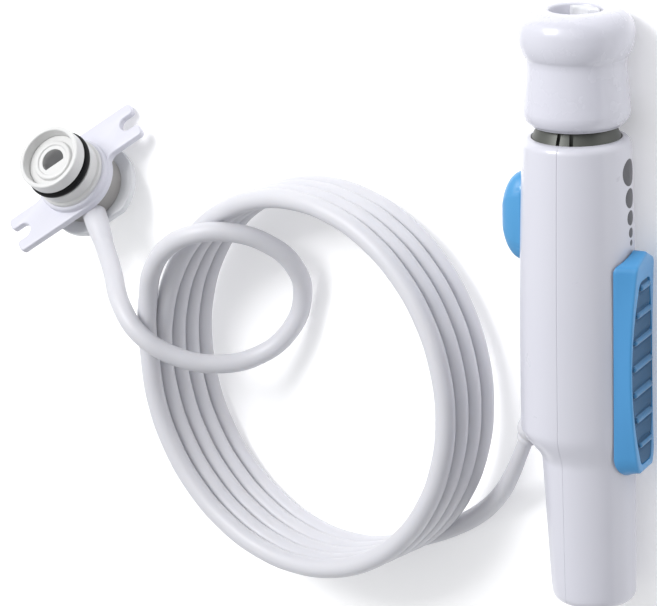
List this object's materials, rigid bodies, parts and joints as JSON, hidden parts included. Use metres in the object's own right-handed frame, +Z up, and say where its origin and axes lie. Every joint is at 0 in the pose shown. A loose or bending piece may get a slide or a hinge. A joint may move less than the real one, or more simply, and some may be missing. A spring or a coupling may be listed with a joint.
{
  "type": "water flosser",
  "caption": "Hand-held jet handle with a turning tip knob, flow slider and eject button, on a coiled hose that ends in a plug-in water bracket.",
  "frame": {"origin": "on the surface the handle lies on, under the middle of the handle", "axes": "+X along the handle towards the tip knob, +Y towards the coiled hose, +Z up; the handle lies on its side with the slider towards -Y"},
  "size_m": [0.1731, 0.2188, 0.0366],
  "materials": {
    "shell_white": "glossy, moulded",
    "neck_grey": "satin",
    "dot_grey": "printed inlay",
    "valve_plastic": "moulded",
    "brass": "turned",
    "hose_white": "satin, flexible",
    "knob_white": "glossy, moulded",
    "socket_white": "moulded",
    "spring_steel": "drawn wire",
    "seal_black": "smooth",
    "button_blue": "glossy, moulded",
    "slider_blue": "glossy, moulded",
    "pad_blue": "soft, ribbed",
    "bracket_white": "satin, moulded",
    "spigot_white": "satin, moulded",
    "body_grey": "moulded",
    "nut_white": "satin, moulded"
  },
  "bodies": {
    "handle": {"front_shell": "shell_white", "back_shell": "shell_white", "neck_collar": "neck_grey", "flow_dots": "dot_grey", "valve_body": "valve_plastic", "inlet_barb": "brass", "inlet_tube": "hose_white", "outlet_tube": "valve_plastic", "socket_seat": "valve_plastic", "hose_gland": "hose_white", "eject_spring": "spring_steel", "mounting_plate": "bracket_white", "water_spigot": "spigot_white", "spigot_o_ring": "seal_black", "spigot_insert": "spigot_white", "bracket_body": "body_grey", "retaining_nut": "nut_white", "hose_elbow": "hose_white", "hose_lead": "hose_white", "hose_coil": "hose_white", "hose_loop": "hose_white"},
    "knob": {"tip_knob": "knob_white", "tip_socket": "socket_white", "socket_seal": "seal_black", "socket_clip": "spring_steel"},
    "button": {"eject_button": "button_blue", "eject_latch": "socket_white"},
    "slider": {"flow_slider": "slider_blue", "slider_pad": "pad_blue", "slider_carrier": "socket_white", "valve_spool": "spring_steel", "spool_seals": "seal_black"}
  },
  "joints": [
    {"name": "knob_turn", "type": "hinge", "parent": "handle", "child": "knob", "pos_m": [0.0646, -0.0003, 0.0154], "axis": [1, 0, 0], "continuous": true},
    {"name": "eject_press", "type": "slide", "parent": "handle", "child": "button", "axis": [0, -0.9659, -0.2588], "range_m": [0, 0.0025], "stiffness_N_per_m": 600, "springref_m": -0.001, "deforming": ["eject_spring"]},
    {"name": "flow_slide", "type": "slide", "parent": "handle", "child": "slider", "axis": [1, 0, 0], "range_m": [0, 0.016]}
  ]
}
